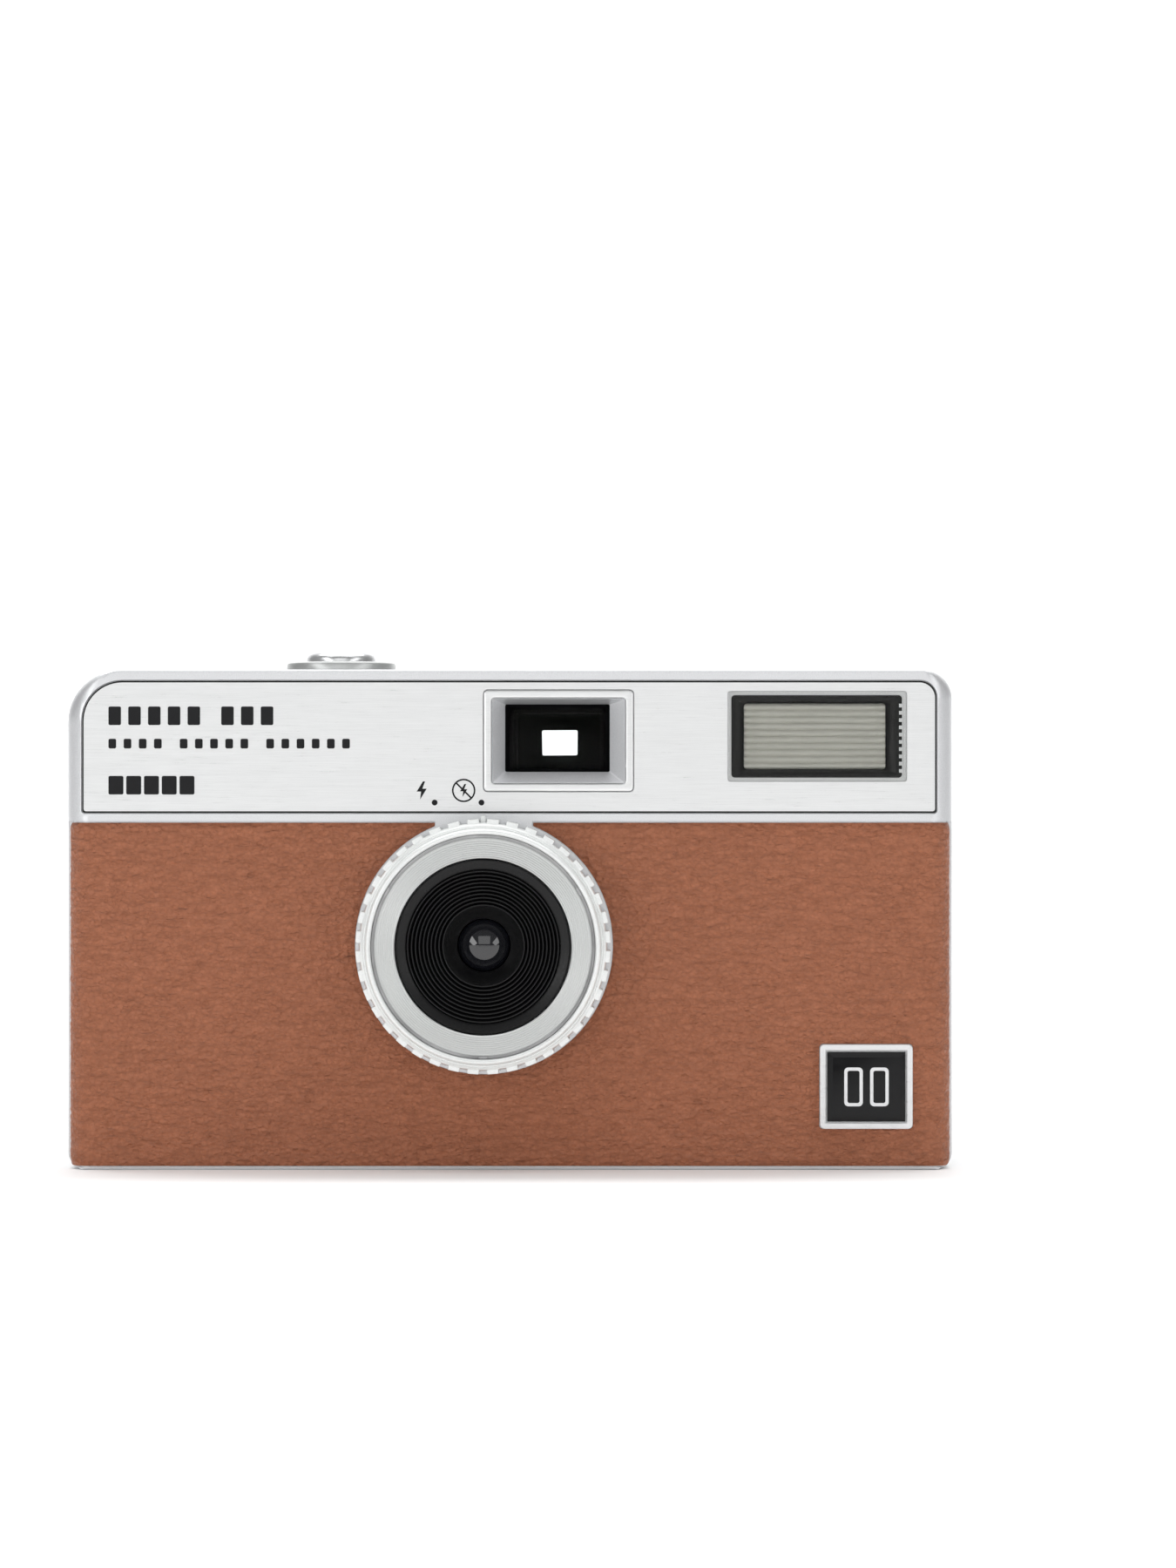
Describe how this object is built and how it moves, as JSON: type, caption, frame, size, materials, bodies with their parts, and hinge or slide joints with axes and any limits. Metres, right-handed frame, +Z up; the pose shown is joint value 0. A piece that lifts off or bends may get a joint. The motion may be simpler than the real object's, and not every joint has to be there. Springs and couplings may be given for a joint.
{
  "type": "half frame camera",
  "caption": "Compact half frame film camera with brown leather front, silver shell, ring switch, viewfinder, flash and hinged rear door.",
  "frame": {"origin": "centre of the bottom face of the body's bounding box", "axes": "+X to the right of the front view, the lens looks along -Y, +Z up"},
  "size_m": [0.11, 0.039, 0.0645],
  "materials": {
    "silver_paint": "fine sparkle satin silver",
    "brushed_silver": "brushed along the width",
    "leather": "reddish brown, creased grain",
    "black_plastic": "satin black",
    "gloss_black": "polished black",
    "chrome": "bright",
    "spring_steel": "plain steel",
    "glass": "coated glass",
    "clear_plastic": "clear moulded plastic",
    "foam": "light seal foam",
    "board": "circuit board",
    "white_plastic": "white or silver plastic",
    "red_lamp": "translucent lamp"
  },
  "bodies": {
    "body": {"front_shell": "silver_paint", "rear_top_cover": "silver_paint", "top_fascia": "brushed_silver", "front_leather": "leather", "badge_frame": "white_plastic", "badge_tile": "gloss_black", "strap_bar": "chrome", "base_screw_1": "spring_steel", "base_screw_2": "spring_steel", "base_screw_3": "spring_steel", "base_screw_4": "spring_steel", "chassis": "black_plastic", "door_light_seal": "foam", "lens_barrel": "black_plastic", "lens_face_ring": "brushed_silver", "lens_cone": "black_plastic", "lens_cell": "black_plastic", "lens_front_element": "glass", "aperture_stop": "black_plastic", "lens_rear_element": "glass", "shutter_plate": "spring_steel", "blade_pivot_pin": "spring_steel", "button_collar": "silver_paint", "shutter_button_spring": "spring_steel", "viewfinder_bezel": "brushed_silver", "viewfinder_funnel": "silver_paint", "viewfinder_front_lens": "glass", "viewfinder_tunnel": "black_plastic", "viewfinder_rear_lens": "glass", "eyepiece_frame": "black_plastic", "flash_lens": "clear_plastic", "flash_reflector": "chrome", "flash_tube": "glass", "flash_capacitor": "gloss_black", "flash_circuit_board": "board", "flash_ready_lamp": "red_lamp", "battery_contact_plate": "spring_steel", "battery_contact_spring": "spring_steel", "battery_door_pin": "spring_steel", "counter_window": "clear_plastic", "rewind_release_spring": "spring_steel", "door_hinge_pin": "spring_steel"},
    "shutter_button": {"shutter_button": "chrome"},
    "release_lever": {"release_lever": "spring_steel"},
    "shutter_blade": {"shutter_blade": "black_plastic"},
    "flash_switch_ring": {"flash_switch_ring": "silver_paint"},
    "advance": {"advance_wheel": "black_plastic", "takeup_spool": "black_plastic"},
    "sprocket": {"sprocket_shaft": "black_plastic"},
    "counter": {"counter_dial": "white_plastic"},
    "rewind": {"rewind_knob": "black_plastic", "rewind_fork": "black_plastic"},
    "rewind_crank": {"rewind_crank": "chrome"},
    "rewind_release": {"rewind_release_button": "black_plastic"},
    "rear_door": {"rear_door": "silver_paint", "rear_leather": "leather", "pressure_spring": "spring_steel"},
    "pressure_plate": {"pressure_plate": "black_plastic"},
    "door_latch": {"door_latch": "chrome"},
    "battery_door": {"battery_door": "silver_paint"}
  },
  "joints": [
    {"name": "shutter_press", "type": "slide", "parent": "body", "child": "shutter_button", "axis": [0, 0, -1], "range_m": [0, 0.0015], "stiffness_N_per_m": 600, "deforming": ["shutter_button_spring"]},
    {"name": "lever_rock", "type": "hinge", "parent": "body", "child": "release_lever", "pos_m": [-0.016, 0, 0.0492], "axis": [0, -1, 0], "range_deg": [0, 18]},
    {"name": "blade_swing", "type": "hinge", "parent": "body", "child": "shutter_blade", "pos_m": [-0.012, -0.007, 0.037], "axis": [0, 1, 0], "range_deg": [0, 40]},
    {"name": "flash_switch", "type": "hinge", "parent": "body", "child": "flash_switch_ring", "pos_m": [-0.0032, -0.015, 0.0278], "axis": [0, -1, 0], "range_deg": [0, 19]},
    {"name": "film_advance", "type": "hinge", "parent": "body", "child": "advance", "pos_m": [-0.039, 0.0055, 0.05], "axis": [0, 0, 1], "continuous": true},
    {"name": "sprocket_turn", "type": "hinge", "parent": "body", "child": "sprocket", "pos_m": [-0.0205, 0.005, 0.0278], "axis": [0, 0, 1], "continuous": true},
    {"name": "counter_turn", "type": "hinge", "parent": "body", "child": "counter", "pos_m": [-0.039, 0.0055, 0.058], "axis": [0, 0, 1], "continuous": true},
    {"name": "rewind_turn", "type": "hinge", "parent": "body", "child": "rewind", "pos_m": [0.026, 0.0023, 0.002], "axis": [0, 0, 1], "continuous": true},
    {"name": "crank_fold", "type": "hinge", "parent": "rewind", "child": "rewind_crank", "pos_m": [0.0324, 0.0023, 0.00095], "axis": [0, -1, 0], "range_deg": [0, 140]},
    {"name": "rewind_release_press", "type": "slide", "parent": "body", "child": "rewind_release", "axis": [0, 0, 1], "range_m": [0, 0.0015], "stiffness_N_per_m": 400, "deforming": ["rewind_release_spring"]},
    {"name": "rear_door_swing", "type": "hinge", "parent": "body", "child": "rear_door", "pos_m": [-0.0535, 0.016, 0.025], "axis": [0, 0, 1], "range_deg": [0, 110]},
    {"name": "pressure_plate_float", "type": "slide", "parent": "rear_door", "child": "pressure_plate", "axis": [0, 1, 0], "range_m": [0, 0.0008], "stiffness_N_per_m": 500},
    {"name": "door_latch_slide", "type": "slide", "parent": "rear_door", "child": "door_latch", "axis": [0, 0, -1], "range_m": [0, 0.004], "stiffness_N_per_m": 200},
    {"name": "battery_door_swing", "type": "hinge", "parent": "body", "child": "battery_door", "pos_m": [0.05425, -0.004, 0.00475], "axis": [0, 1, 0], "range_deg": [0, 90]}
  ],
  "couplings": [
    {"joint": "lever_rock", "follows": "shutter_press", "rad_per_m": 209.44},
    {"joint": "blade_swing", "follows": "shutter_press", "rad_per_m": 465.42},
    {"joint": "sprocket_turn", "follows": "film_advance", "ratio": 1},
    {"joint": "counter_turn", "follows": "film_advance", "ratio": 0.028}
  ]
}
